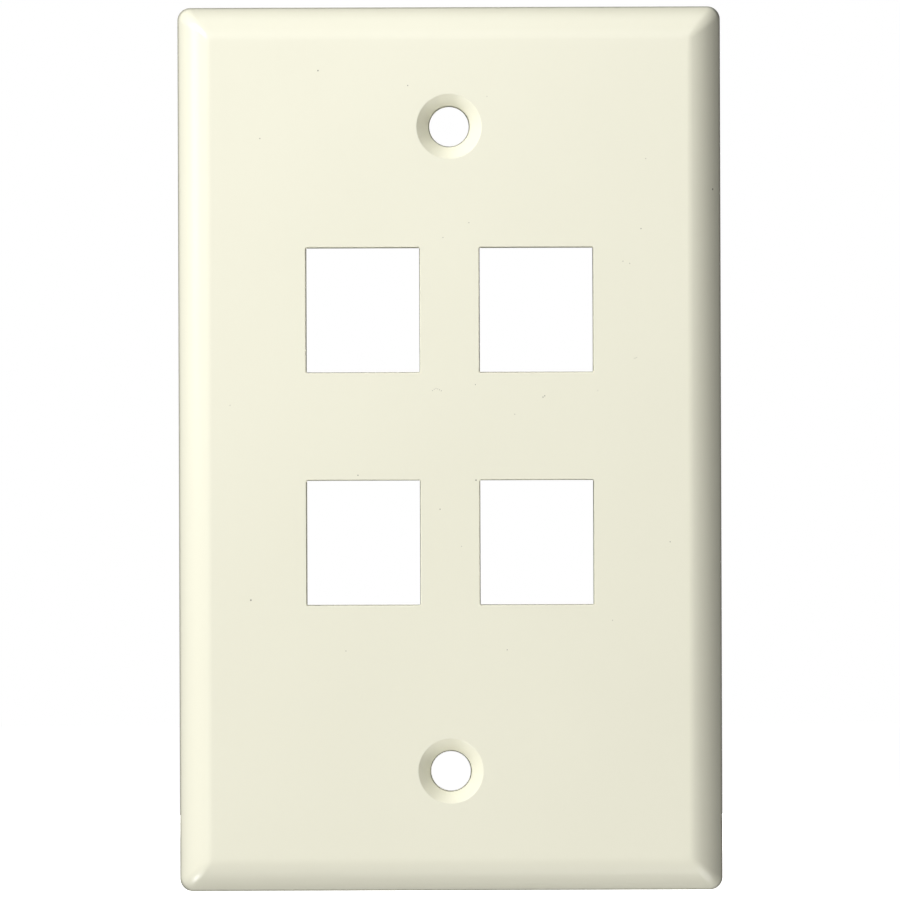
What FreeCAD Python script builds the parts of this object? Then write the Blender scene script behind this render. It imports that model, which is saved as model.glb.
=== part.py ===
import FreeCAD, Part
import math
import os

# Wall plate for one gang with four keystone ports, moulded in one piece. All sizes are in millimetres.
# The origin is on the wall plane at the plate's centre, X runs to the right, Z up and Y into the wall.
# The visible face looks along -Y, and what has y above zero reaches into the wall box.

# Plate shell
plate_width = 70.2
plate_height = 114.3
plate_depth = 5.7
shell_wall = 2.0
side_draft = 1.5
corner_radius = 1.7

# Curved bevel round the face, its tilts measured from the flat face in degrees
bevel_width = 4.0
bevel_face_tilt = 14.0
bevel_side_tilt = 65.0
bevel_foot_extra_radius = 0.3
face_border_radius = 1.75

# Screw holes for oval-head screws, and the bosses behind them
screw_spacing = 83.34
screw_bore = 5.4
countersink_diameter = 8.4
countersink_angle = 82.0
countersink_edge_radius = 0.2
boss_diameter = 9.6
boss_draft = 2.0
boss_setback = 0.6
gusset_reach = 4.5

# Port openings in the face
port_columns = 2
port_rows = 2
port_width = 14.6
port_height = 16.05
column_pitch = 22.43
row_pitch = 30.08
ports_rise = 2.92
port_corner_radius = 0.2
port_edge_radius = 0.18

# Receptacle behind each port. Its ledges' depths are measured from the face.
receptacle_wall = 1.5
receptacle_draft = 0.5
receptacle_corner_radius = 0.6
lug_ledge_depth = 6.5
lug_pocket_length = 1.6
lug_pocket_height = 2.0
latch_ledge_depth = 4.0
latch_pocket_height = 4.9
lip_thickness = 1.7
latch_lip_overhang = 1.8
lead_in = 0.7

# Stiffening ribs on the back
rib_thickness = 1.2
rib_setback = 1.2

# Marks of the pins that push the moulding off its tool
pin_mark_diameter = 4.0
pin_mark_depth = 0.15
pin_mark_inset = 9.0

AXIS_X = FreeCAD.Vector(1, 0, 0)
AXIS_Y = FreeCAD.Vector(0, 1, 0)
AXIS_Z = FreeCAD.Vector(0, 0, 1)

# How far a cutting body runs past the surface that it opens
overrun = 1.0

# How far a boss, rib or receptacle wall is rooted in the face's thickness
root_depth = shell_wall / 2

# How near two numbers are that mean the same place
same_place = 1e-5

# The bevel's foot is rounded a little more than the plate's corners, which run down over it
bevel_foot_radius = corner_radius + bevel_foot_extra_radius

# How deep behind the face both pockets end at the lips, and how deep the receptacle ends
lip_depth = lug_ledge_depth + lug_pocket_length
receptacle_depth = lip_depth + lip_thickness

# How far a receptacle's outside reaches above and below the middle of its port
reach_above_port = port_height / 2 + lug_pocket_height + receptacle_wall
reach_below_port = port_height / 2 + latch_pocket_height + receptacle_wall


def at_depth(depth):
    """The y of a plane this deep behind the visible face."""
    return depth - plate_depth


class RimSection:
    """The rim's section: u runs in from the plate's edge, v forward from the wall plane."""

    def __init__(self):
        self.face_tilt = math.radians(bevel_face_tilt)
        self.side_tilt = math.radians(bevel_side_tilt)
        self.draft = math.radians(side_draft)
        self.upright = math.pi / 2 - self.draft
        self.lean = math.tan(self.draft)
        self.radius = self.bevel_radius()
        face_border = (bevel_width, plate_depth)
        self.centre = offset_point(face_border, self.face_tilt, -self.radius)

    def bevel_radius(self):
        """The radius that leads the bevel from the face's border to the drafted side."""
        run = math.sin(self.side_tilt) - math.sin(self.face_tilt)
        drop = math.cos(self.face_tilt) - math.cos(self.side_tilt)
        foot_run = bevel_foot_radius * (math.sin(self.upright) - math.sin(self.side_tilt))
        foot_drop = bevel_foot_radius * (math.cos(self.side_tilt) - math.cos(self.upright))
        room = bevel_width - foot_run - self.lean * (plate_depth - foot_drop)
        return room / (run - self.lean * drop)

    def outer_path(self):
        """The drafted side, the bevel's rounded foot and the long bevel up to the face's border."""
        face_border = offset_point(self.centre, self.face_tilt, self.radius)
        middle_tilt = (self.face_tilt + self.side_tilt) / 2
        bevel_middle = offset_point(self.centre, middle_tilt, self.radius)
        bevel_end = offset_point(self.centre, self.side_tilt, self.radius)
        foot_centre = offset_point(bevel_end, self.side_tilt, -bevel_foot_radius)
        foot_middle = offset_point(foot_centre, (self.side_tilt + self.upright) / 2, bevel_foot_radius)
        side_top = offset_point(foot_centre, self.upright, bevel_foot_radius)
        return [(0.0, 0.0), side_top, (foot_middle, bevel_end), (bevel_middle, face_border)]

    def inner_path(self):
        """The hollow's flank, one wall inside the outer one and open behind the wall plane."""
        radius = self.radius - shell_wall
        wall_run = shell_wall / math.cos(self.draft)
        reach = self.centre[0] - wall_run - self.lean * self.centre[1]
        foot_tilt = math.asin(reach * math.cos(self.draft) / radius) - self.draft
        top_tilt = math.acos((plate_depth - shell_wall - self.centre[1]) / radius)
        foot = (wall_run - overrun * self.lean, -overrun)
        arc_foot = offset_point(self.centre, foot_tilt, radius)
        arc_middle = offset_point(self.centre, (foot_tilt + top_tilt) / 2, radius)
        arc_top = offset_point(self.centre, top_tilt, radius)
        return [foot, arc_foot, (arc_middle, arc_top)]


def offset_point(point, tilt, distance):
    """The point moved along the outward normal of a flank that is tilted from the face."""
    return (point[0] - distance * math.sin(tilt), point[1] + distance * math.cos(tilt))


def path_edges(path, place):
    """Edges along a path: an entry is a point, or an arc's middle and end."""
    edges = []
    start = path[0]
    for entry in path[1:]:
        if isinstance(entry[0], tuple):
            middle, end = entry
            edges.append(Part.Arc(place(start), place(middle), place(end)).toShape())
        else:
            end = entry
            edges.append(Part.LineSegment(place(start), place(end)).toShape())
        start = end
    return edges


def flanked_bar(path, span, length, across, along):
    """A bar that has the path as both of its flanks, span apart at the wall plane."""
    start = along * (-length / 2)

    def low_side(point):
        return start + across * (point[0] - span / 2) - AXIS_Y * point[1]

    def high_side(point):
        return start + across * (span / 2 - point[0]) - AXIS_Y * point[1]

    foot = path[0]
    top = path[-1][1]
    edges = path_edges(path, low_side) + path_edges(path, high_side)
    edges.append(Part.LineSegment(low_side(top), high_side(top)).toShape())
    edges.append(Part.LineSegment(low_side(foot), high_side(foot)).toShape())
    outline = Part.Wire(Part.__sortEdges__(edges))
    return Part.Face(outline).extrude(along * length)


def mitred_body(path):
    """A body whose four flanks follow the path and meet in mitres at the corners."""
    upright = flanked_bar(path, plate_width, plate_height, AXIS_X, AXIS_Z)
    level = flanked_bar(path, plate_height, plate_width, AXIS_Z, AXIS_X)
    return upright.common(level)


def is_mitre(edge):
    """Whether an edge runs forward along a corner's diagonal, where two flanks meet."""
    first, last = (vertex.Point for vertex in edge.Vertexes)
    for point in (first, last):
        inset_x = plate_width / 2 - abs(point.x)
        inset_z = plate_height / 2 - abs(point.z)
        if abs(inset_x - inset_z) > same_place:
            return False
    return abs(first.y - last.y) > same_place


def lies_in_face(edge):
    """Whether an edge lies in the plane of the flat face."""
    return edge.BoundBox.YMax < at_depth(0.0) + same_place


def plate_outside():
    """The plate without its hollow: mitres rounded, and the flat face's border softened."""
    body = mitred_body(RimSection().outer_path())
    body = body.makeFillet(corner_radius, [edge for edge in body.Edges if is_mitre(edge)])
    return body.makeFillet(face_border_radius, [edge for edge in body.Edges if lies_in_face(edge)])


def runs_rearward(edge):
    """Whether an edge crosses the planes of equal depth and does not lie in one of them."""
    return edge.BoundBox.YLength > same_place


def receptacle_block():
    """The outside of the walls round one jack, leaning in towards the rear by their draft."""
    reach = port_width / 2 + receptacle_wall
    top = reach_above_port
    bottom = -reach_below_port
    lean = math.tan(math.radians(receptacle_draft)) * (receptacle_depth - root_depth)
    block = Part.makeWedge(
        -reach, at_depth(root_depth), bottom, bottom + lean, lean - reach,
        reach, at_depth(receptacle_depth), top, top - lean, reach - lean,
    )
    flank_edges = [edge for edge in block.Edges if runs_rearward(edge)]
    return block.makeFillet(receptacle_corner_radius, flank_edges)


def prism(corners, along):
    """A straight body between a polygon and its copy moved along a vector."""
    outline = Part.makePolygon(corners + corners[:1])
    return Part.Face(outline).extrude(along)


def jack_section():
    """The jack's space seen from the side, as depths and heights round from the face's top."""
    top = port_height / 2
    bottom = -top
    lug_pocket = top + lug_pocket_height
    latch_pocket = bottom - latch_pocket_height
    latch_lip = latch_pocket + latch_lip_overhang
    lead_in_depth = receptacle_depth - lead_in
    past_rear = receptacle_depth + overrun
    flare = lead_in + overrun
    return [
        (-overrun, top),
        (lug_ledge_depth, top),
        (lug_ledge_depth, lug_pocket),
        (lip_depth, lug_pocket),
        (lip_depth, top),
        (lead_in_depth, top),
        (past_rear, top + flare),
        (past_rear, latch_lip - flare),
        (lead_in_depth, latch_lip),
        (lip_depth, latch_lip),
        (lip_depth, latch_pocket),
        (latch_ledge_depth, latch_pocket),
        (latch_ledge_depth, bottom),
        (-overrun, bottom),
    ]


def is_port_corner(edge):
    """Whether an edge of the jack's space starts in front of the face, at a port's corner."""
    return runs_rearward(edge) and edge.BoundBox.YMin < at_depth(0.0) - same_place


def jack_space():
    """What stays clear for one jack: the port, a pocket for its lug and one for its latch."""
    left = -port_width / 2
    corners = [FreeCAD.Vector(left, at_depth(depth), height) for depth, height in jack_section()]
    space = prism(corners, AXIS_X * port_width)
    return space.makeFillet(port_corner_radius, [e for e in space.Edges if is_port_corner(e)])


def row_heights():
    """The z of each row of ports, from the bottom."""
    return [(row - (port_rows - 1) / 2) * row_pitch + ports_rise for row in range(port_rows)]


def column_places():
    """The x of each column of ports, from the left."""
    return [(column - (port_columns - 1) / 2) * column_pitch for column in range(port_columns)]


def port_centres():
    """The middle of each port."""
    return [FreeCAD.Vector(x, 0, z) for z in row_heights() for x in column_places()]


def screw_centres():
    """The middle of the upper and the lower screw hole."""
    return [AXIS_Z * (side * screw_spacing / 2) for side in (1, -1)]


def boss():
    """The drafted post behind a screw hole, with a gusset sloping off on either side of it."""
    last_depth = plate_depth - boss_setback
    height = last_depth - root_depth
    foot_radius = boss_diameter / 2
    tip_radius = foot_radius - math.tan(math.radians(boss_draft)) * height
    post = Part.makeCone(foot_radius, tip_radius, height, AXIS_Y * at_depth(root_depth), AXIS_Y)
    reach = foot_radius + gusset_reach
    right_half = [(reach, root_depth), (reach, shell_wall), (tip_radius, last_depth)]
    left_half = [(-x, depth) for x, depth in reversed(right_half)]
    bottom = -rib_thickness / 2
    corners = [FreeCAD.Vector(x, at_depth(depth), bottom) for x, depth in right_half + left_half]
    return post.fuse(prism(corners, AXIS_Z * rib_thickness))


def screw_section():
    """Half of a screw hole's section: a path of radii and heights from the wall plane."""
    flank_tilt = math.radians(90 - countersink_angle / 2)
    bore_radius = screw_bore / 2
    sink_depth = (countersink_diameter / 2 - bore_radius) * math.tan(flank_tilt)
    tangent_length = countersink_edge_radius * math.tan(flank_tilt / 2)
    mouth_radius = countersink_diameter / 2 + tangent_length
    arc_centre = (mouth_radius, plate_depth - countersink_edge_radius)
    arc_middle = offset_point(arc_centre, flank_tilt / 2, countersink_edge_radius)
    arc_foot = offset_point(arc_centre, flank_tilt, countersink_edge_radius)
    return [
        (0.0, plate_depth + overrun),
        (mouth_radius, plate_depth + overrun),
        (mouth_radius, plate_depth),
        (arc_middle, arc_foot),
        (bore_radius, plate_depth - sink_depth),
        (bore_radius, -overrun),
        (0.0, -overrun),
        (0.0, plate_depth + overrun),
    ]


def screw_space():
    """The bore for a screw's shank and the countersink for its oval head, its mouth rounded."""
    edges = path_edges(screw_section(), lambda point: AXIS_X * point[0] - AXIS_Y * point[1])
    return Part.Face(Part.Wire(edges)).revolve(FreeCAD.Vector(), AXIS_Y, 360)


def ribs():
    """Ribs from rim to rim, down between the columns and across between the rows."""
    front = at_depth(root_depth)
    depth = plate_depth - rib_setback - root_depth
    bars = []
    for place in column_places()[1:]:
        x = place - column_pitch / 2
        corner = FreeCAD.Vector(x - rib_thickness / 2, front, -plate_height / 2)
        bars.append(Part.makeBox(rib_thickness, depth, plate_height, corner))
    for height in row_heights()[1:]:
        z = height - (row_pitch - reach_above_port + reach_below_port) / 2
        corner = FreeCAD.Vector(-plate_width / 2, front, z - rib_thickness / 2)
        bars.append(Part.makeBox(plate_width, depth, rib_thickness, corner))
    return bars


def pin_marks():
    """Shallow round marks inside the face, in its corners and beside each row of ports."""
    reach_x = plate_width / 2 - pin_mark_inset
    reach_z = plate_height / 2 - pin_mark_inset
    y = at_depth(shell_wall - pin_mark_depth)
    radius = pin_mark_diameter / 2
    return [
        Part.makeCylinder(radius, shell_wall, FreeCAD.Vector(x, y, z), AXIS_Y)
        for x in (-reach_x, reach_x)
        for z in [-reach_z, reach_z] + row_heights()
    ]


def is_port_edge(edge):
    """Whether an edge of the face borders a port."""
    return lies_in_face(edge) and any(
        abs(edge.BoundBox.Center.x - centre.x) < port_width / 2 + same_place
        and abs(edge.BoundBox.Center.z - centre.z) < port_height / 2 + same_place
        for centre in port_centres()
    )


def faceplate():
    """The whole moulding."""
    outside = plate_outside()
    plate = outside.cut(mitred_body(RimSection().inner_path()))
    posts = [boss().translated(centre) for centre in screw_centres()]
    blocks = [receptacle_block().translated(centre) for centre in port_centres()]
    stiffeners = [rib.common(outside) for rib in ribs()]
    plate = plate.fuse(posts + blocks + stiffeners)
    spaces = [jack_space().translated(centre) for centre in port_centres()]
    holes = [screw_space().translated(centre) for centre in screw_centres()]
    plate = plate.cut(spaces + holes + pin_marks()).removeSplitter()
    plate = plate.makeFillet(port_edge_radius, [e for e in plate.Edges if is_port_edge(e)])
    return plate.Solids[0]


def main():
    os.makedirs("parts", exist_ok=True)
    plate = faceplate()
    plate.exportStep("parts/faceplate.step")
    print(f"faceplate: {plate.Volume / 1000:.2f} cm3, valid {plate.isValid()}")


main()
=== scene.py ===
# %% [markdown]
# # A wall plate for four keystone jacks
#
# The object is a one-gang wall plate, moulded in one shot from ivory ABS. Its front is flat and glossy,
# with a curved bevel all round, two countersunk screw holes and four ports. Behind each port stands a
# walled receptacle that a jack hooks into.
#
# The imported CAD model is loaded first. It fixes where everything is, and the finer mesh made here has
# to stay inside its box.

# %% Load the frame
import math

import bmesh
import bpy
from mathutils import Matrix, Vector


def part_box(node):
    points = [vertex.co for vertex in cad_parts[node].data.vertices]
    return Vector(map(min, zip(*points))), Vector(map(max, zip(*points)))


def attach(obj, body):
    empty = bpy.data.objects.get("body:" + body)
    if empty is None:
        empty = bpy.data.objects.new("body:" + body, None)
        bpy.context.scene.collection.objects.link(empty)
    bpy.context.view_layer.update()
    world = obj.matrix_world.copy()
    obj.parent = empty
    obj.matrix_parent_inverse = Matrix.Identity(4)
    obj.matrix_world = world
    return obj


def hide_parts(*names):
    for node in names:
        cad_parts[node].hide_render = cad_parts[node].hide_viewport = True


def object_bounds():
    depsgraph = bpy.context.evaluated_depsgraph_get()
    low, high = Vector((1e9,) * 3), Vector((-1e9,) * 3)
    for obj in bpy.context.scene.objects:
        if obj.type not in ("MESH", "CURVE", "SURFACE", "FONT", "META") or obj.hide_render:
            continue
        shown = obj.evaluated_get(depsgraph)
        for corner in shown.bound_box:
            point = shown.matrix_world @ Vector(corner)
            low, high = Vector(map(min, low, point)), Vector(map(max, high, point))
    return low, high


MM_PER_METRE = 1000.0


def rounded(points, digits):
    """Points with their numbers rounded, for printing."""
    return [tuple(round(value, digits) for value in point) for point in points]


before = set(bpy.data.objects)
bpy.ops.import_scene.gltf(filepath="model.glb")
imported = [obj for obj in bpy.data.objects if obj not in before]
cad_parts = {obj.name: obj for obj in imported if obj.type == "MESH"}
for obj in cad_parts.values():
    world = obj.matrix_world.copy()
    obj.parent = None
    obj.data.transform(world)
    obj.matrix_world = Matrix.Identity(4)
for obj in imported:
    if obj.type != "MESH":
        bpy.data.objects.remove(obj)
cad_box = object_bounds()
print("CAD box:", rounded(cad_box, 5))

# %% [markdown]
# ## The camera
#
# The photograph was taken square on, from far enough away that the walls inside the ports hardly show.
# A camera without perspective would hide them altogether, so a very long lens at 5 m is used instead.
# The plate leans a fifth of a degree in the picture, so the camera is turned by that much about its own
# line of sight.

# %% Camera
SENSOR_WIDTH = 36.0
IMAGE_PIXELS = 900
PIXELS_PER_MM = 7.735
VIEW_DISTANCE = 5.0
CAMERA_X = 0.0
CAMERA_Z = -0.00016
CAMERA_ROLL = math.radians(-0.19)

view_width = IMAGE_PIXELS / PIXELS_PER_MM / MM_PER_METRE
camera_data = bpy.data.cameras.new("camera")
camera_data.sensor_width = SENSOR_WIDTH
camera_data.lens = SENSOR_WIDTH * VIEW_DISTANCE / view_width
camera = bpy.data.objects.new("camera", camera_data)
camera.location = (CAMERA_X, cad_box[0].y - VIEW_DISTANCE, CAMERA_Z)
camera.rotation_mode = "QUATERNION"
upright = Matrix.Rotation(math.pi / 2, 3, "X")
camera.rotation_quaternion = (upright @ Matrix.Rotation(CAMERA_ROLL, 3, "Z")).to_quaternion()
bpy.context.scene.collection.objects.link(camera)
bpy.context.scene.camera = camera
print("lens:", round(camera_data.lens, 1), "mm")

# %% [markdown]
# ## Sizes
#
# The plate's overall size comes from the CAD model. The rest are the real sizes in millimetres. The mesh
# is modelled in millimetres too, with x to the right, y into the wall and z up, and is turned to metres
# when it is finished.

# %% Sizes in millimetres
node_low, node_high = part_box("faceplate")
plate_width = (node_high.x - node_low.x) * MM_PER_METRE
plate_height = (node_high.z - node_low.z) * MM_PER_METRE
plate_depth = -node_low.y * MM_PER_METRE
receptacle_depth = plate_depth + node_high.y * MM_PER_METRE

shell_wall = 2.0
side_draft = math.radians(3.5)
corner_radius = 1.7
bevel_width = 4.0
bevel_face_tilt = math.radians(14)
bevel_side_tilt = math.radians(65)
bevel_foot_radius = 2.0
face_border_radius = 2.5

print("plate:", round(plate_width, 2), "x", round(plate_height, 2), "x", round(plate_depth, 2), "mm")

# %% [markdown]
# ## The rim's section
#
# Cut through, the rim shows a nearly upright side, a small rounded foot and then the long arc of the
# bevel, which ends in a soft border at the flat face. The section is a path of points: how far in from
# the plate's edge, and how high above the wall. An arc is walked from one tilt to the next, where the
# tilt is measured from the flat face. A curve drawn by hand would do too, but points worked out from
# radii and tilts still meet smoothly after a size changes.


# %% Section of the rim
def on_arc(centre, radius, tilt):
    """The point of an arc where the surface has this tilt."""
    return (centre[0] - radius * math.sin(tilt), centre[1] + radius * math.cos(tilt))


def arc_points(centre, radius, first_tilt, last_tilt, steps):
    """Points along an arc, without its first one."""
    turn = (last_tilt - first_tilt) / steps
    return [on_arc(centre, radius, first_tilt + turn * step) for step in range(1, steps + 1)]


def bevel_radius():
    """The radius that takes the bevel from the face's border to the drafted side."""
    lean = math.tan(side_draft)
    upright_tilt = math.pi / 2 - side_draft
    run = math.sin(bevel_side_tilt) - math.sin(bevel_face_tilt)
    drop = math.cos(bevel_face_tilt) - math.cos(bevel_side_tilt)
    foot_run = bevel_foot_radius * (math.sin(upright_tilt) - math.sin(bevel_side_tilt))
    foot_drop = bevel_foot_radius * (math.cos(bevel_side_tilt) - math.cos(upright_tilt))
    room = bevel_width - foot_run - lean * (plate_depth - foot_drop)
    return room / (run - lean * drop)


bevel = bevel_radius()
bevel_centre = on_arc((bevel_width, plate_depth), -bevel, bevel_face_tilt)
border_height = plate_depth - face_border_radius
border_reach = bevel - face_border_radius
border_side = math.sqrt(border_reach**2 - (border_height - bevel_centre[1]) ** 2)
border_centre = (bevel_centre[0] - border_side, border_height)
border_tilt = math.asin(border_side / border_reach)
print("bevel radius:", round(bevel, 2), "mm, border from a tilt of", round(math.degrees(border_tilt), 1))


def outer_section():
    """The rim's outside from the wall plane up to the flat face."""
    upright_tilt = math.pi / 2 - side_draft
    bevel_end = on_arc(bevel_centre, bevel, bevel_side_tilt)
    foot_centre = on_arc(bevel_end, -bevel_foot_radius, bevel_side_tilt)
    path = [(0.0, 0.0), on_arc(foot_centre, bevel_foot_radius, upright_tilt)]
    path += arc_points(foot_centre, bevel_foot_radius, upright_tilt, bevel_side_tilt, steps=8)
    path += arc_points(bevel_centre, bevel, bevel_side_tilt, border_tilt, steps=24)
    path += arc_points(border_centre, face_border_radius, border_tilt, 0.0, steps=10)
    return path


def inner_section():
    """The hollow's flank, one wall inside, from the wall plane up to the face's inside."""
    radius = bevel - shell_wall
    wall_run = shell_wall / math.cos(side_draft)
    reach = bevel_centre[0] - wall_run - math.tan(side_draft) * bevel_centre[1]
    foot_tilt = math.asin(reach * math.cos(side_draft) / radius) - side_draft
    top_tilt = math.acos((plate_depth - shell_wall - bevel_centre[1]) / radius)
    path = [(wall_run, 0.0), on_arc(bevel_centre, radius, foot_tilt)]
    return path + arc_points(bevel_centre, radius, foot_tilt, top_tilt, steps=8)


print("outer section:", len(outer_section()), "points, inner section:", len(inner_section()), "points")

# %% [markdown]
# ## The shell
#
# The plate is a shallow shell, open towards the wall. Its section could be swept along a curve that runs
# round the plate. Here a flat box is the start instead. Its front face is inset again and again, each
# time by the next step of the section, so that four mitred flanks grow out of it. The back face is inset
# the other way, which hollows the plate. Insetting keeps every ring of faces joined to the last, so the
# shell is closed and its strips run evenly round the plate.


# %% Shell from insets
def follow_section(bm, face, path, growth):
    """Insets a face step by step along a section: growth is 1 out of the body, -1 into it."""
    for start, end in zip(path, path[1:]):
        bmesh.ops.inset_region(
            bm,
            faces=[face],
            thickness=end[0] - start[0],
            depth=growth * (end[1] - start[1]),
            use_even_offset=True,
            use_boundary=True,
        )


def facing(bm, direction):
    """The face whose normal is nearest to a direction."""
    bm.normal_update()
    return max(bm.faces, key=lambda face: face.normal.dot(direction))


FORWARD = Vector((0, -1, 0))
REARWARD = Vector((0, 1, 0))

outer_path = outer_section()
side_inset, side_height = outer_path[1]
shell = bmesh.new()
bmesh.ops.create_cube(shell, size=1.0)
bmesh.ops.scale(shell, vec=(plate_width, side_height, plate_height), verts=shell.verts)
bmesh.ops.translate(shell, vec=(0, -side_height / 2, 0), verts=shell.verts)
front = facing(shell, FORWARD)
back = facing(shell, REARWARD)
draft_scale = (1 - 2 * side_inset / plate_width, 1, 1 - 2 * side_inset / plate_height)
bmesh.ops.scale(shell, vec=draft_scale, verts=front.verts)
follow_section(shell, front, outer_path[1:], growth=1)
follow_section(shell, back, [(0.0, 0.0)] + inner_section(), growth=-1)
shell.normal_update()
face_middle = front.calc_center_median()
inside_middle = back.calc_center_median()
print("face at y", round(face_middle.y, 3), "inside at y", round(inside_middle.y, 3))

# %% [markdown]
# ## Rounded mitres
#
# The flanks still meet in sharp mitres. On the real plate a ball-nosed cutter left them rounded in the
# mould, with the same radius all the way, so the rounding narrows as the bevel flattens. A Bevel
# modifier does that when each mitre edge carries its own weight: the tangent of half the angle between
# its two flanks. One width for all edges would give a larger radius where the bevel is flat.


# %% Objects from meshes
def new_piece(name, bm):
    """A mesh object made from a bmesh, which is freed."""
    bmesh.ops.recalc_face_normals(bm, faces=bm.faces)
    mesh = bpy.data.meshes.new(name)
    bm.to_mesh(mesh)
    bm.free()
    piece = bpy.data.objects.new(name, mesh)
    bpy.context.scene.collection.objects.link(piece)
    return piece


def bake_modifiers(piece):
    """Puts the result of a piece's modifiers in its mesh."""
    bpy.context.view_layer.update()
    graph = bpy.context.evaluated_depsgraph_get()
    piece_mesh = bpy.data.meshes.new_from_object(piece.evaluated_get(graph))
    piece.modifiers.clear()
    piece.data = piece_mesh


# %% Round the mitres
SAME_PLACE = 0.001


def is_mitre(edge):
    """Whether an edge runs along a corner's diagonal and juts out, as the hollow's edges don't."""
    insets = [(plate_width / 2 - abs(v.co.x), plate_height / 2 - abs(v.co.z)) for v in edge.verts]
    on_diagonal = all(abs(x - z) < SAME_PLACE for x, z in insets)
    rises = abs(edge.verts[0].co.y - edge.verts[1].co.y) > SAME_PLACE / 10
    return on_diagonal and rises and edge.calc_face_angle_signed() > 0


weights = shell.edges.layers.float.new("bevel_weight_edge")
mitres = [edge for edge in shell.edges if is_mitre(edge)]
for edge in mitres:
    edge[weights] = math.tan(edge.calc_face_angle() / 2)
plate = new_piece("faceplate_moulding", shell)
rounding = plate.modifiers.new("corner_rounding", "BEVEL")
rounding.limit_method = "WEIGHT"
rounding.width = corner_radius
rounding.segments = 14
rounding.use_clamp_overlap = False
rounding.loop_slide = True
bake_modifiers(plate)
print("mitre edges rounded:", len(mitres), "faces now:", len(plate.data.polygons))

# %% [markdown]
# ## Behind the face
#
# Four receptacles, two screw bosses with gussets and two ribs stand behind the face. They could be drawn
# out of the shell's own faces, but some of them cross each other. So each is a small body of its own,
# and a Boolean modifier joins it to the plate. The bodies are rooted in the face's thickness, so no two
# surfaces lie in one plane.

# %% Ports and receptacles in millimetres
port_width = 14.6
port_height = 16.05
column_pitch = 22.43
row_pitch = 30.08
ports_rise = 2.92
receptacle_wall = 1.5
receptacle_draft = math.radians(0.5)
receptacle_corner_radius = 0.6
lug_pocket_height = 2.0
latch_pocket_height = 4.9
root_depth = 0.5
edge_break = 0.12

column_places = [-column_pitch / 2, column_pitch / 2]
row_heights = [ports_rise - row_pitch / 2, ports_rise + row_pitch / 2]
port_centres = [Vector((x, 0, z)) for z in row_heights for x in column_places]
reach_above = port_height / 2 + lug_pocket_height + receptacle_wall
reach_below = port_height / 2 + latch_pocket_height + receptacle_wall
print("ports at", rounded(port_centres, 2))


# %% Helpers for bodies
def at_depth(depth):
    """The y of a plane this deep behind the visible face."""
    return depth - plate_depth


def combine(piece, other, operation):
    """Joins another body to a piece or cuts it out of it, and removes the other body."""
    boolean = piece.modifiers.new(operation.lower(), "BOOLEAN")
    boolean.operation = operation
    boolean.solver = "EXACT"
    boolean.object = other
    bake_modifiers(piece)
    bpy.data.objects.remove(other)


def vertices_in(geom):
    """The vertices among the elements of a mesh."""
    return [item for item in geom if isinstance(item, bmesh.types.BMVert)]


def repeat_at(bm, centres):
    """Copies a body that was made round the origin to each of these centres."""
    original = list(bm.verts) + list(bm.edges) + list(bm.faces)
    for centre in centres[1:]:
        copied = bmesh.ops.duplicate(bm, geom=original)["geom"]
        bmesh.ops.translate(bm, vec=centre, verts=vertices_in(copied))
    bmesh.ops.translate(bm, vec=centres[0], verts=vertices_in(original))
    return bm


def box_between(low, high):
    """A bmesh box between two corners."""
    bm = bmesh.new()
    bmesh.ops.create_cube(bm, size=1.0)
    bmesh.ops.scale(bm, vec=high - low, verts=bm.verts)
    bmesh.ops.translate(bm, vec=(low + high) / 2, verts=bm.verts)
    return bm


def round_edges(bm, edges, radius, steps):
    """Rounds these edges by a radius, with this many facets across the round."""
    bmesh.ops.bevel(
        bm, geom=edges, offset=radius, segments=steps, affect="EDGES", profile=0.5, material=-1
    )


def break_rear_edges(bm, rear):
    """Rounds the edges of a body's rear face a little, as a mould leaves them."""
    edges = [edge for edge in bm.edges if all(abs(v.co.y - rear) < SAME_PLACE for v in edge.verts)]
    round_edges(bm, edges, edge_break, steps=2)


# %% [markdown]
# ### Receptacles
#
# A receptacle is the walled box that a jack hooks into. Its outside narrows a little towards the rear, so
# that the plate slides out of its mould, and its four corners are rounded. One block is made round the
# origin and copied to the four ports, so they are all alike. What the jack needs clear is cut out later.


# %% Receptacle walls
def runs_rearward(edge):
    """Whether an edge reaches more than a millimetre from front to rear."""
    return abs(edge.verts[0].co.y - edge.verts[1].co.y) > 1.0


def receptacle_block():
    """The outside of one receptacle, narrower at the rear by its draft."""
    half_width = port_width / 2 + receptacle_wall
    low = Vector((-half_width, at_depth(root_depth), -reach_below))
    high = Vector((half_width, at_depth(receptacle_depth), reach_above))
    bm = box_between(low, high)
    lean = math.tan(receptacle_draft) * (receptacle_depth - root_depth)
    rear = facing(bm, REARWARD)
    middle = (low + high) / 2
    shrink = (1 - lean / half_width, 1, 1 - 2 * lean / (high.z - low.z))
    bmesh.ops.scale(bm, vec=shrink, space=Matrix.Translation(-middle), verts=rear.verts)
    corners = [edge for edge in bm.edges if runs_rearward(edge)]
    round_edges(bm, corners, receptacle_corner_radius, steps=6)
    break_rear_edges(bm, high.y)
    return bm


receptacles = new_piece("receptacles", repeat_at(receptacle_block(), port_centres))
combine(plate, receptacles, "UNION")
print("faces with the receptacles:", len(plate.data.polygons))

# %% [markdown]
# ### Screw bosses
#
# A boss carries the pull of the screw past the thin face to the wall, and a sloped web on either side
# braces it. The post is a cone rather than a cylinder, because a mould needs a draft of a degree or two.
# The web is a flat outline, drawn out to its thickness.

# %% Screw bosses with gussets
screw_spacing = 83.34
boss_radius = 4.8
boss_draft = math.radians(2)
boss_setback = 0.6
gusset_reach = 4.5
rib_thickness = 1.2

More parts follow.
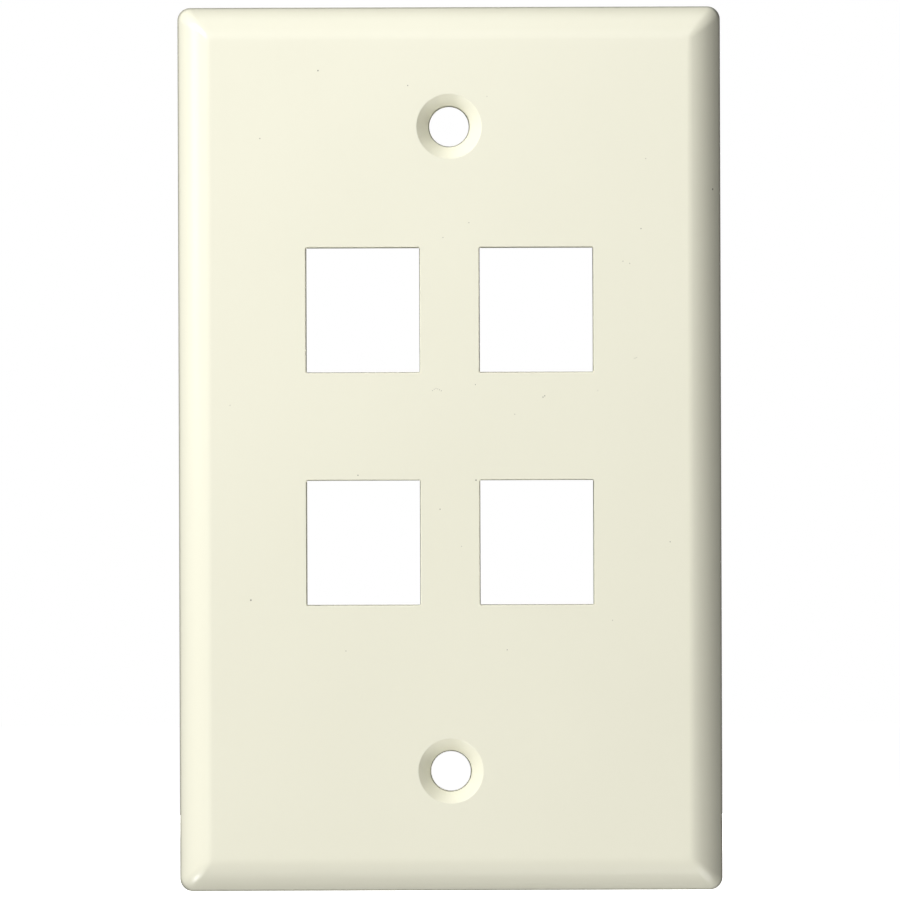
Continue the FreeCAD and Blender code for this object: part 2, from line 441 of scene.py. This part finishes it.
screw_centres = [Vector((0, 0, side * screw_spacing / 2)) for side in (1, -1)]
boss_end = plate_depth - boss_setback
boss_tip_radius = boss_radius - math.tan(boss_draft) * (boss_end - root_depth)


def standing_cone(first_radius, last_radius, first_depth, last_depth, sides):
    """A round body that stands behind the face, between two depths."""
    height = last_depth - first_depth
    bm = bmesh.new()
    bmesh.ops.create_cone(
        bm, cap_ends=True, segments=sides, radius1=first_radius, radius2=last_radius, depth=height
    )
    bmesh.ops.rotate(bm, matrix=Matrix.Rotation(-math.pi / 2, 3, "X"), verts=bm.verts)
    bmesh.ops.translate(bm, vec=(0, at_depth(first_depth) + height / 2, 0), verts=bm.verts)
    return bm


def boss_post():
    """The drafted post round one screw hole."""
    bm = standing_cone(boss_radius, boss_tip_radius, root_depth, boss_end, sides=72)
    break_rear_edges(bm, at_depth(boss_end))
    return bm


def drawn_out(corners, move):
    """A body between a flat outline and the same outline moved."""
    bm = bmesh.new()
    outline = [bm.verts.new(corner) for corner in corners]
    face = bmesh.ops.contextual_create(bm, geom=outline)["faces"]
    copied = bmesh.ops.extrude_face_region(bm, geom=face, use_keep_orig=True)["geom"]
    bmesh.ops.translate(bm, vec=move, verts=vertices_in(copied))
    return bm


def gusset():
    """One sloped web through a post, which braces it on both sides."""
    reach = boss_radius + gusset_reach
    tip = (boss_tip_radius - edge_break, boss_end - edge_break)
    right = [(reach, root_depth), (reach, shell_wall), tip]
    section = right + [(-x, depth) for x, depth in reversed(right)]
    corners = [(x, at_depth(depth), -rib_thickness / 2) for x, depth in section]
    return drawn_out(corners, (0, 0, rib_thickness))


combine(plate, new_piece("bosses", repeat_at(boss_post(), screw_centres)), "UNION")
combine(plate, new_piece("gussets", repeat_at(gusset(), screw_centres)), "UNION")
print("faces with the bosses:", len(plate.data.polygons))

# %% [markdown]
# ### Ribs
#
# One rib runs down the middle and one across between the rows of ports. They keep the thin face from
# warping as it cools. A box with its rear edges broken is all that each needs, with its ends inside the
# rim's wall.

# %% Stiffening ribs
rib_setback = 1.2
rib_root = 0.3
RIM_ROOT_SHARE = 0.75


def rib(half_x, half_z, height):
    """A rib behind the face, its ends rooted in the rim's wall."""
    low = Vector((-half_x, at_depth(shell_wall - rib_root), height - half_z))
    high = Vector((half_x, -rib_setback, height + half_z))
    bm = box_between(low, high)
    break_rear_edges(bm, high.y)
    return bm


rim_root = RIM_ROOT_SHARE * shell_wall
tie_height = (row_heights[0] + reach_above + row_heights[1] - reach_below) / 2
upright_rib = rib(rib_thickness / 2, plate_height / 2 - rim_root, 0.0)
level_rib = rib(plate_width / 2 - rim_root, rib_thickness / 2, tie_height)
combine(plate, new_piece("upright_rib", upright_rib), "UNION")
combine(plate, new_piece("level_rib", level_rib), "UNION")
print("faces with the ribs:", len(plate.data.polygons))

# %% [markdown]
# ## Openings
#
# Now the space for each jack is made, right through face and receptacle. Seen from the side it has a
# ledge, a pocket and a lip above, for the jack's fixed lug, and a deeper pocket with a ledge and a lip
# below, for its sprung latch. Several boxes could be cut one after the other, but one outline of that
# side view, drawn out to the port's width, keeps all the depths together. The port's walls open towards
# the face by a tenth of a millimetre, so that the mould lets go. All openings are gathered in one mesh
# and cut at the end.

# %% Jack space in millimetres
lug_ledge_depth = 6.5
latch_ledge_depth = 4.0
lip_thickness = 1.7
latch_lip_overhang = 1.8
lead_in = 0.7
port_corner_radius = 0.2
port_edge_radius = 0.11
port_lean = 0.095
overrun = 1.0


def jack_section():
    """The jack's space from the side: depths from the face, and heights from the port's middle."""
    top = port_height / 2
    front_top = top + port_lean * (1 + overrun / lug_ledge_depth)
    front_bottom = -top - port_lean * (1 + overrun / latch_ledge_depth)
    latch_pocket = -top - latch_pocket_height
    latch_lip = latch_pocket + latch_lip_overhang
    lip = receptacle_depth - lip_thickness
    rear = receptacle_depth + overrun
    flare = lead_in + overrun
    above = [(-overrun, front_top), (lug_ledge_depth, top), (lug_ledge_depth, top + lug_pocket_height)]
    above += [(lip, top + lug_pocket_height), (lip, top), (receptacle_depth - lead_in, top)]
    below = [(-overrun, front_bottom), (latch_ledge_depth, -top), (latch_ledge_depth, latch_pocket)]
    below += [(lip, latch_pocket), (lip, latch_lip), (receptacle_depth - lead_in, latch_lip)]
    return above + [(rear, top + flare), (rear, latch_lip - flare)] + list(reversed(below))


def is_port_corner(edge):
    """Whether an edge of the jack's space runs through the plane of the face from its front end."""
    depths = [v.co.y for v in edge.verts]
    return min(depths) < at_depth(-overrun) + SAME_PLACE and max(depths) > at_depth(0.0)


def lean_side_walls(bm):
    """Widens the jack's space evenly from the receptacle's rear to the face."""
    for vert in bm.verts:
        share = 1 - min((vert.co.y - at_depth(0.0)) / receptacle_depth, 1.0)
        vert.co.x *= 1 + share * port_lean / (port_width / 2)


def jack_space():
    """What one jack needs clear, with small rounds in the port's four corners."""
    corners = [(-port_width / 2, at_depth(depth), height) for depth, height in jack_section()]
    bm = drawn_out(corners, (port_width, 0, 0))
    port_corners = [edge for edge in bm.edges if is_port_corner(edge)]
    round_edges(bm, port_corners, port_corner_radius, steps=5)
    lean_side_walls(bm)
    return bm


openings = repeat_at(jack_space(), port_centres)
print("jack space:", len(jack_section()), "corners in its section")

# %% [markdown]
# ### Screw holes
#
# Such plates take screws with oval heads, so each hole has a countersink with a rounded mouth. A cylinder
# and a cone would cut it in two steps. Half of the hole's section, spun round, gives all of it at once.
# The bore narrows towards the rear, so that the mould's pin draws out.

# %% Screw holes
screw_bore = 5.4
countersink_radius = 4.2
countersink_angle = 82.0
countersink_flank = math.radians(90 - countersink_angle / 2)
countersink_edge_radius = 0.2
bore_draft = math.radians(2.5)


def screw_space():
    """The bore and countersink of one screw hole, spun from half of its section."""
    sink_depth = (countersink_radius - screw_bore / 2) * math.tan(countersink_flank)
    tangent = countersink_edge_radius * math.tan(countersink_flank / 2)
    mouth = (countersink_radius + tangent, -countersink_edge_radius)
    end = -plate_depth - overrun
    end_radius = screw_bore / 2 - (-sink_depth - end) * math.tan(bore_draft)
    path = [(0.0, overrun), (mouth[0], overrun), (mouth[0], 0.0)]
    path += arc_points(mouth, countersink_edge_radius, 0.0, countersink_flank, steps=5)
    path += [(screw_bore / 2, -sink_depth), (end_radius, end), (0.0, end)]
    bm = bmesh.new()
    points = [bm.verts.new((radius, -plate_depth - height, 0)) for radius, height in path]
    line = [bm.edges.new(pair) for pair in zip(points, points[1:])]
    bmesh.ops.spin(
        bm,
        geom=points + line,
        cent=(0, 0, 0),
        axis=(0, 1, 0),
        angle=2 * math.pi,
        steps=96,
        use_merge=True,
    )
    bmesh.ops.remove_doubles(bm, verts=bm.verts, dist=SAME_PLACE / 10)
    return bm


def add_body(bm, other):
    """Adds another body's mesh to a bmesh."""
    holder = bpy.data.meshes.new("holder")
    other.to_mesh(holder)
    other.free()
    bm.from_mesh(holder)
    bpy.data.meshes.remove(holder)


add_body(openings, repeat_at(screw_space(), screw_centres))
print("openings so far:", len(openings.faces), "faces")

# %% [markdown]
# ### Ejector pin marks
#
# Pins push the plate out of its mould and leave eight shallow round marks behind the face. They could be
# a pattern in the material, but real steps catch the light from every side. They go into the mesh of the
# openings, so that a single Boolean modifier cuts everything.

# %% Ejector pin marks
pin_mark_radius = 2.0
pin_mark_depth = 0.15
pin_mark_inset = 9.0

mark_floor = shell_wall - pin_mark_depth
mark_x = plate_width / 2 - pin_mark_inset
mark_z = plate_height / 2 - pin_mark_inset
mark_heights = [-mark_z, mark_z] + row_heights
mark_centres = [Vector((x, 0, z)) for x in (-mark_x, mark_x) for z in mark_heights]
pin_end = mark_floor + 2 * overrun
pin = standing_cone(pin_mark_radius, pin_mark_radius, mark_floor, pin_end, sides=48)
add_body(openings, repeat_at(pin, mark_centres))
combine(plate, new_piece("openings", openings), "DIFFERENCE")
print("faces with all openings:", len(plate.data.polygons))

# %% [markdown]
# ## Port edges
#
# Nothing that comes out of a mould has a knife edge. The ports' edges in the face are rounded by a tenth
# of a millimetre. The photograph shows the rounding and the leaning walls as a thin grey line round each
# port. A Bevel modifier limited by angle would round other edges too, so these are picked by their place,
# once the Boolean modifier has made them.


# %% Round the ports' edges
SHARP_ANGLE = math.radians(30)


def is_port_edge(edge):
    """Whether an edge of the face borders a port."""
    in_face = all(abs(v.co.y - at_depth(0.0)) < SAME_PLACE for v in edge.verts)
    if not in_face or edge.calc_face_angle() < SHARP_ANGLE:
        return False
    middle = (edge.verts[0].co + edge.verts[1].co) / 2
    half_width = port_width / 2 + port_lean + SAME_PLACE
    half_height = port_height / 2 + port_lean + SAME_PLACE
    return any(
        abs(middle.x - centre.x) < half_width and abs(middle.z - centre.z) < half_height
        for centre in port_centres
    )


WELD_DISTANCE = SAME_PLACE / 2

moulding = bmesh.new()
moulding.from_mesh(plate.data)
bmesh.ops.remove_doubles(moulding, verts=moulding.verts, dist=WELD_DISTANCE)
bmesh.ops.dissolve_degenerate(moulding, dist=WELD_DISTANCE, edges=moulding.edges)
port_edges = [edge for edge in moulding.edges if is_port_edge(edge)]
round_edges(moulding, port_edges, port_edge_radius, steps=6)
print("port edges rounded:", len(port_edges))

# %% [markdown]
# ## Finish the mesh
#
# Faces with many corners are split into triangles, the mesh is scaled to metres, and every edge that
# turns by more than 30 degrees is marked sharp. A Weighted Normal modifier then lets the large flat
# faces keep their own normals, so the gloss runs flat over the face and bends only on the bevel.

# %% Finish the mesh
CM3_PER_M3 = 1e6

bmesh.ops.triangulate(moulding, faces=moulding.faces, quad_method="BEAUTY", ngon_method="BEAUTY")
bmesh.ops.scale(moulding, vec=[1 / MM_PER_METRE] * 3, verts=moulding.verts)
moulding.normal_update()
for face in moulding.faces:
    face.smooth = True
for edge in moulding.edges:
    edge.smooth = edge.is_manifold and edge.calc_face_angle() < SHARP_ANGLE
open_edges = [edge for edge in moulding.edges if not edge.is_manifold]
volume = moulding.calc_volume() * CM3_PER_M3
moulding.to_mesh(plate.data)
moulding.free()
weighting = plate.modifiers.new("flat_faces_first", "WEIGHTED_NORMAL")
weighting.keep_sharp = True
weighting.weight = 80
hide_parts("faceplate")
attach(plate, "root")
print("triangles:", len(plate.data.polygons), "open edges:", len(open_edges))
print("volume:", round(volume, 2), "cm3")

# %% [markdown]
# ## Ivory ABS
#
# The plastic is ABS, coloured in the melt and moulded against a polished tool. It gives the eye a warm
# off-white and a clear but soft gloss. The colour drifts a little where the melt flowed, the gloss runs
# over faint ripples, and the side that faces the wall is duller, because nobody polishes that half of a
# tool. Pictures of plastic could be wrapped round the plate, but patterns from nodes have no seams and
# stay sharp close up. Their widths are in millimetres, so the position is scaled to millimetres first.


# %% Material helpers
def linear(hex_colour):
    """An sRGB hex colour as linear red, green, blue and alpha."""
    channels = [int(hex_colour[place : place + 2], 16) / 255 for place in (1, 3, 5)]
    curve = [c / 12.92 if c <= 0.04045 else ((c + 0.055) / 1.055) ** 2.4 for c in channels]
    return (*curve, 1.0)


def new_material(name):
    """A material and its shader."""
    material = bpy.data.materials.new(name)
    material.use_nodes = True
    return material, material.node_tree.nodes["Principled BSDF"]


def add_node(owner, kind, settings=None, inputs=None):
    """A new node of a material or world. Its inputs take a value or another node's output."""
    node = owner.node_tree.nodes.new(kind)
    for name, value in (settings or {}).items():
        setattr(node, name, value)
    for socket, value in (inputs or {}).items():
        if isinstance(value, bpy.types.NodeSocket):
            owner.node_tree.links.new(value, node.inputs[socket])
        else:
            node.inputs[socket].default_value = value
    return node


def blend(material, factor, low, high):
    """A colour between two others."""
    mix = add_node(material, "ShaderNodeMix", {"data_type": "RGBA"}, {0: factor, 6: low, 7: high})
    return mix.outputs[2]


def ramp(material, value, start, end, low=0.0, high=1.0):
    """A value that runs from low to high while another runs from start to end."""
    inputs = {"Value": value, "From Min": start, "From Max": end, "To Min": low, "To Max": high}
    return add_node(material, "ShaderNodeMapRange", None, inputs).outputs["Result"]


def joined(material, operation, first, second):
    """What a mathematical operation makes of two values."""
    inputs = {0: first, 1: second}
    return add_node(material, "ShaderNodeMath", {"operation": operation}, inputs).outputs[0]


def noise(material, position, width, detail):
    """Smooth noise whose patches are about this wide."""
    inputs = {"Vector": position, "Scale": 1 / width, "Detail": detail}
    return add_node(material, "ShaderNodeTexNoise", None, inputs).outputs[0]


def bumps(material, height, metres, base=None):
    """A normal that follows a height pattern of so many metres, on top of another normal if given."""
    inputs = {"Height": height, "Distance": metres, "Strength": 1.0}
    if base is not None:
        inputs["Normal"] = base
    return add_node(material, "ShaderNodeBump", None, inputs).outputs[0]


# %% [markdown]
# ### Dust
#
# The plate in the photograph has lain about: some two dozen specks of dust and a hair of lint sit on it,
# most of them a tenth of a millimetre wide. They could be painted in an image, but a list of places and
# radii needs none. Each row of numbers is a round speck: its place on the plate, x and z, and its
# radius. A long speck is a row of round ones.

# %% Dust in millimetres
FACE_DUST = [
    (-25.81, -19.49, 0.110),
    (-16.91, 48.94, 0.095),
    (12.05, 6.64, 0.075),
    (12.27, 6.80, 0.075),
    (23.90, 11.62, 0.055),
    (24.14, 11.70, 0.055),
    (-1.31, -7.81, 0.072),
    (-24.45, 40.19, 0.066),
    (2.54, 29.22, 0.056),
    (24.79, 28.38, 0.070),
    (-5.31, 46.98, 0.070),
    (7.31, -26.02, 0.062),
    (22.44, 24.18, 0.055),
    (28.42, -12.12, 0.067),
    (-0.82, 27.33, 0.053),
    (25.43, 37.43, 0.052),
    (20.95, -22.24, 0.048),
    (3.31, 8.28, 0.057),
    (8.39, 4.44, 0.051),
    (-28.42, 5.71, 0.049),
    (19.13, 7.47, 0.040),
    (4.93, 45.54, 0.040),
    (-13.54, -26.10, 0.055),
    (23.32, 23.90, 0.050),
    (1.44, -12.63, 0.042),
    (3.35, -4.07, 0.095),
    (-11.91, -3.39, 0.075),
]
LINT = [
    (-2.24, 7.52, 0.045),
    (-2.02, 7.70, 0.045),
    (-1.79, 7.82, 0.045),
    (-1.56, 7.74, 0.045),
    (-1.33, 7.62, 0.050),
    (-1.10, 7.50, 0.050),
]
BEVEL_DUST_PLACE = (34.10, -3.80, 33.45)
BEVEL_DUST_RADIUS = 0.13
SPECK_BLUR = 0.35


def dust_mask(material, position):
    """How much dust covers a point: 1 on a speck, 0 beside it."""
    specks = [((x, at_depth(0.0), z), radius) for x, z, radius in FACE_DUST + LINT]
    specks.append((BEVEL_DUST_PLACE, BEVEL_DUST_RADIUS))
    covered = 0.0
    for place, radius in specks:
        ends = {0: position, 1: place}
        away = add_node(material, "ShaderNodeVectorMath", {"operation": "DISTANCE"}, ends)
        outer, inner = (1 + SPECK_BLUR) * radius, (1 - SPECK_BLUR) * radius
        speck = ramp(material, away.outputs["Value"], outer, inner)
        covered = joined(material, "MAXIMUM", covered, speck)
    return covered


print("round specks on the face:", len(FACE_DUST), "and in the lint:", len(LINT))

# %% Ivory moulded ABS
IVORY = "#F0EEDA"
DEEPER_IVORY = "#EEECD8"
DUST_GREY = "#8F8B78"
FLOW_WIDTH = 38.0
FLOW_RANGE = (0.35, 0.65)
RIPPLE_WIDTH = 2.4
RIPPLE_METRES = 0.0000012
GRAIN_WIDTH = 0.16
GRAIN_METRES = 0.0000005
FRONT_ROUGHNESS = 0.24
REAR_ROUGHNESS = 0.42
REARWARD_RANGE = (0.2, 0.6)
DUST_ROUGHNESS = 0.4
ABS_IOR = 1.53

ivory, plastic = new_material("ivory_moulded_abs")
coordinates = add_node(ivory, "ShaderNodeTexCoord").outputs["Object"]
to_mm = {0: coordinates, "Scale": MM_PER_METRE}
in_mm = add_node(ivory, "ShaderNodeVectorMath", {"operation": "SCALE"}, to_mm).outputs[0]

flow = ramp(ivory, noise(ivory, in_mm, FLOW_WIDTH, detail=2.0), *FLOW_RANGE)
melt = blend(ivory, flow, linear(IVORY), linear(DEEPER_IVORY))
dust = dust_mask(ivory, in_mm)
surface_colour = blend(ivory, dust, melt, linear(DUST_GREY))
ivory.node_tree.links.new(surface_colour, plastic.inputs["Base Color"])

normal = add_node(ivory, "ShaderNodeNewGeometry").outputs["Normal"]
rearward = add_node(ivory, "ShaderNodeSeparateXYZ", None, {0: normal}).outputs["Y"]
tool_finish = ramp(ivory, rearward, *REARWARD_RANGE, FRONT_ROUGHNESS, REAR_ROUGHNESS)
dusted = ramp(ivory, dust, 0.0, 1.0, 0.0, DUST_ROUGHNESS)
roughness = joined(ivory, "ADD", tool_finish, dusted)
ivory.node_tree.links.new(roughness, plastic.inputs["Roughness"])

rippled = bumps(ivory, noise(ivory, in_mm, RIPPLE_WIDTH, detail=1.0), RIPPLE_METRES)
grained = bumps(ivory, noise(ivory, in_mm, GRAIN_WIDTH, detail=2.0), GRAIN_METRES, rippled)
ivory.node_tree.links.new(grained, plastic.inputs["Normal"])
plastic.inputs["IOR"].default_value = ABS_IOR

plate.data.materials.clear()
plate.data.materials.append(ivory)
print("material nodes:", len(ivory.node_tree.nodes))

# %% [markdown]
# ## Floor
#
# The plate stands on plain white, as the photograph has it, with no shadow under it. A lit floor would
# throw light back up at the bevel. This one glows evenly, and only the camera sees it.

# %% Floor
WHITE = (1, 1, 1, 1)
FLOOR_REACH = 3.0

floor_mesh = bmesh.new()
bmesh.ops.create_grid(floor_mesh, x_segments=1, y_segments=1, size=FLOOR_REACH)
bmesh.ops.translate(floor_mesh, vec=(0, 0, cad_box[0].z), verts=floor_mesh.verts)
floor = new_piece("floor", floor_mesh)
white_card, card = new_material("white_card")
card.inputs["Base Color"].default_value = linear("#FAFAFA")
card.inputs["Roughness"].default_value = 0.9
card.inputs["Emission Color"].default_value = WHITE
card.inputs["Emission Strength"].default_value = 1.0
floor.data.materials.append(white_card)
floor.visible_diffuse = False
floor.visible_glossy = False
floor.visible_shadow = False
print("floor at z:", round(cad_box[0].z, 4), "m")

# %% [markdown]
# ## Light
#
# The light is soft and comes mostly from the upper left. A picture of a studio could surround the plate,
# but single soft boxes can be moved until each highlight lies where the photograph has it. There is a key
# box with a wide fill beside it, and a narrow strip close to the plate that leaves the highlight on the
# upper part of the left bevel. Weaker boxes fill in from above, from below and from the right. One box
# lights the back. It stays out of reflections, or the walls seen edge-on would mirror it as bright lines.


# %% Lights
def soft_box(name, bearing, height, distance, size, power):
    """A soft box aimed at the plate: degrees to the right and up, metres away, and its watts."""
    light = bpy.data.lights.new(name, "AREA")
    light.shape = "RECTANGLE"
    light.size, light.size_y = size
    light.energy = power
    lamp = bpy.data.objects.new(name, light)
    turn = Matrix.Rotation(math.radians(bearing), 3, "Z")
    lift = Matrix.Rotation(math.radians(-height), 3, "X")
    lamp.location = turn @ lift @ Vector((0, -distance, 0))
    lamp.rotation_mode = "QUATERNION"
    lamp.rotation_quaternion = lamp.location.to_track_quat("Z", "Y")
    bpy.context.scene.collection.objects.link(lamp)
    return lamp


soft_box("key", -40, 35, 0.80, (0.35, 0.35), 4.4)
soft_box("upper_fill", -14, 30, 0.80, (0.80, 0.80), 2.7)
soft_box("top_fill", 10, 78, 0.80, (0.50, 0.50), 0.6)
soft_box("lower_left_fill", -60, -55, 0.80, (0.35, 0.35), 2.4)
soft_box("lower_right_fill", 53, -55, 0.80, (0.60, 0.60), 2.65)
soft_box("right_fill", 35, 0, 0.80, (0.35, 0.35), 0.25)
back_light = soft_box("back_light", 170, 10, 1.00, (0.50, 0.50), 7.0)
back_light.visible_glossy = False
print("soft boxes:", len(bpy.data.lights))

# %% Highlight strip
STRIP_LIFT = 0.16

strip = soft_box("left_strip", -70, 0, 0.35, (0.12, 0.28), 0.32)
strip.location.z += STRIP_LIFT
print("strip at:", rounded([strip.location], 3), "m")

# %% [markdown]
# ## Background
#
# Behind the plate the photograph is plain white. If that white also lit the plate, it would wash out the
# shading on the bevel. So the world is white to the camera, and nearly dark to every other ray.

# %% Background
ROOM_GLOW = 0.005

world = bpy.data.worlds.new("studio")
world.use_nodes = True
bpy.context.scene.world = world
world.node_tree.nodes.clear()
ray = add_node(world, "ShaderNodeLightPath")
room = add_node(world, "ShaderNodeBackground", inputs={"Color": WHITE, "Strength": ROOM_GLOW})
backdrop = add_node(world, "ShaderNodeBackground", inputs={"Color": WHITE, "Strength": 1.0})
choice = {0: ray.outputs["Is Camera Ray"], 1: room.outputs[0], 2: backdrop.outputs[0]}
chosen = add_node(world, "ShaderNodeMixShader", inputs=choice)
add_node(world, "ShaderNodeOutputWorld", inputs={"Surface": chosen.outputs[0]})
bpy.context.scene.view_settings.view_transform = "Standard"
print("background nodes:", len(world.node_tree.nodes))

# %% [markdown]
# ## Finish
#
# The scene is brought up to date at the end.

# %% Finish
bpy.context.view_layer.update()
